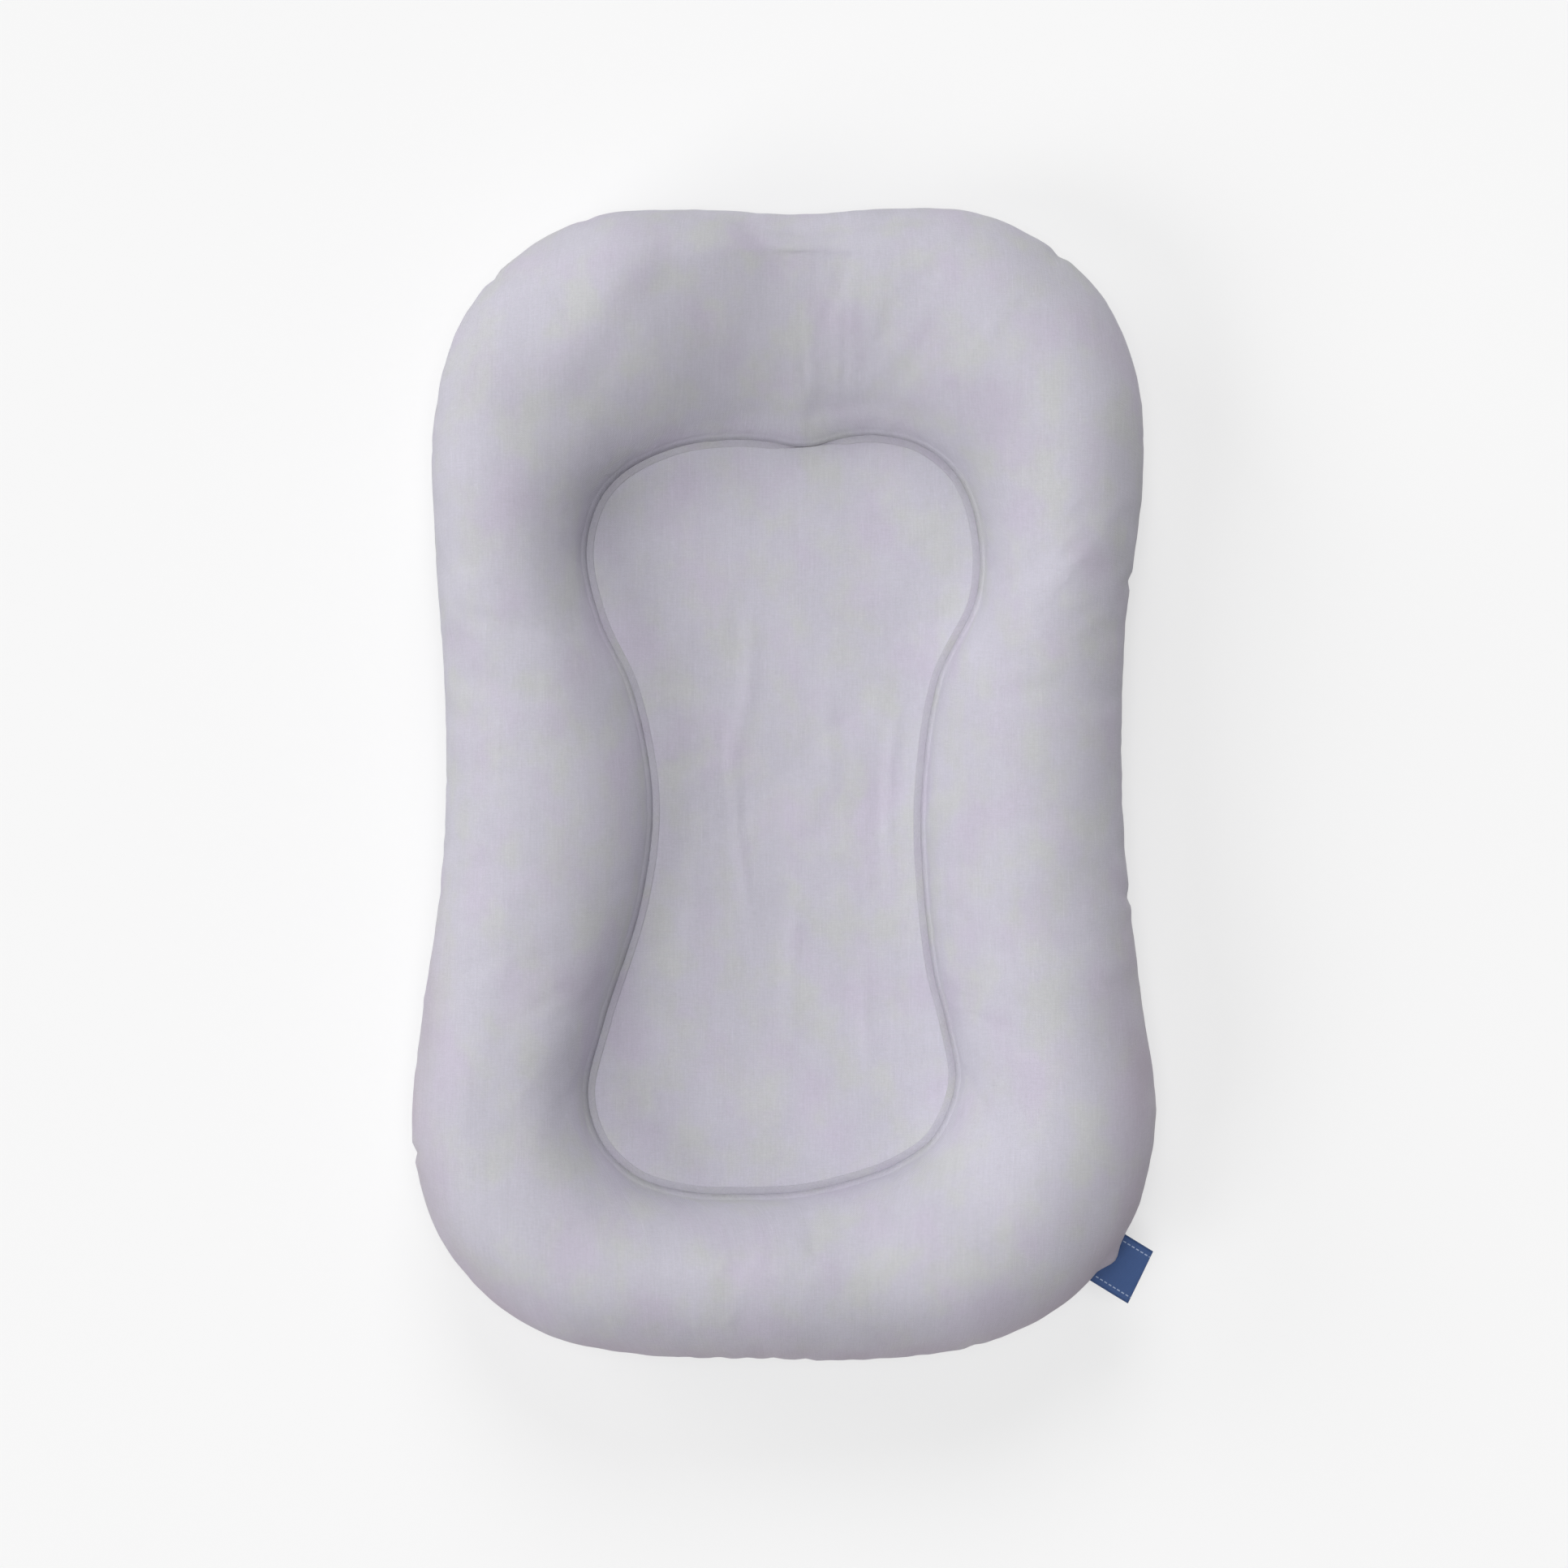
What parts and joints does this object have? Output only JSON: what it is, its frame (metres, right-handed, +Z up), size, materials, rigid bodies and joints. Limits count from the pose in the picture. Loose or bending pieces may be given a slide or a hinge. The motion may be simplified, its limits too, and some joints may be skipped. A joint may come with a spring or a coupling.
{
  "type": "infant lounger",
  "caption": "Soft nest for a baby to lie in: a stuffed ring bolster round a thin padded centre, in a cloth cover with piping, a woven side tag and a zip underneath.",
  "frame": {"origin": "on the floor under the middle of the lounger's outline", "axes": "+Y to the head end, +X to the right seen from above, +Z up from the floor"},
  "size_m": [0.478, 0.74, 0.1222],
  "materials": {
    "cover_cloth": "plain-woven soft cotton, pale lilac grey, matt, with a faint mottle",
    "woven_tag": "close-woven satin ribbon, deep blue, slight sheen",
    "lining": "thin undyed lining cloth",
    "filling": "white polyester fibre",
    "zip_tape": "close-woven tape, lilac grey",
    "zip_teeth": "moulded nylon, lilac grey",
    "zip_metal": "zinc casting with a smooth grey coat"
  },
  "bodies": {
    "lounger": {"cover_top_bolster": "cover_cloth", "cover_centre_panel": "cover_cloth", "centre_piping": "cover_cloth", "piping_cord": "filling", "cover_under_left": "cover_cloth", "cover_under_right": "cover_cloth", "side_tag": "woven_tag", "insert_liner_top": "lining", "insert_liner_under": "lining", "bolster_fill": "filling", "centre_pad": "filling", "zip_tape_left": "zip_tape", "zip_tape_right": "zip_tape", "zip_teeth_left": "zip_teeth", "zip_teeth_right": "zip_teeth", "zip_top_stop_left": "zip_metal", "zip_top_stop_right": "zip_metal", "zip_bottom_stop": "zip_metal"},
    "slider": {"zip_slider": "zip_metal"},
    "pull": {"zip_pull": "zip_metal"}
  },
  "joints": [
    {"name": "zip_slide", "type": "slide", "parent": "lounger", "child": "slider", "axis": [0, -1, 0], "range_m": [0, 0.425]},
    {"name": "pull_swing", "type": "hinge", "parent": "slider", "child": "pull", "pos_m": [0, 0.19273, 0.006], "axis": [1, 0, 0], "range_deg": [0, 180]}
  ]
}
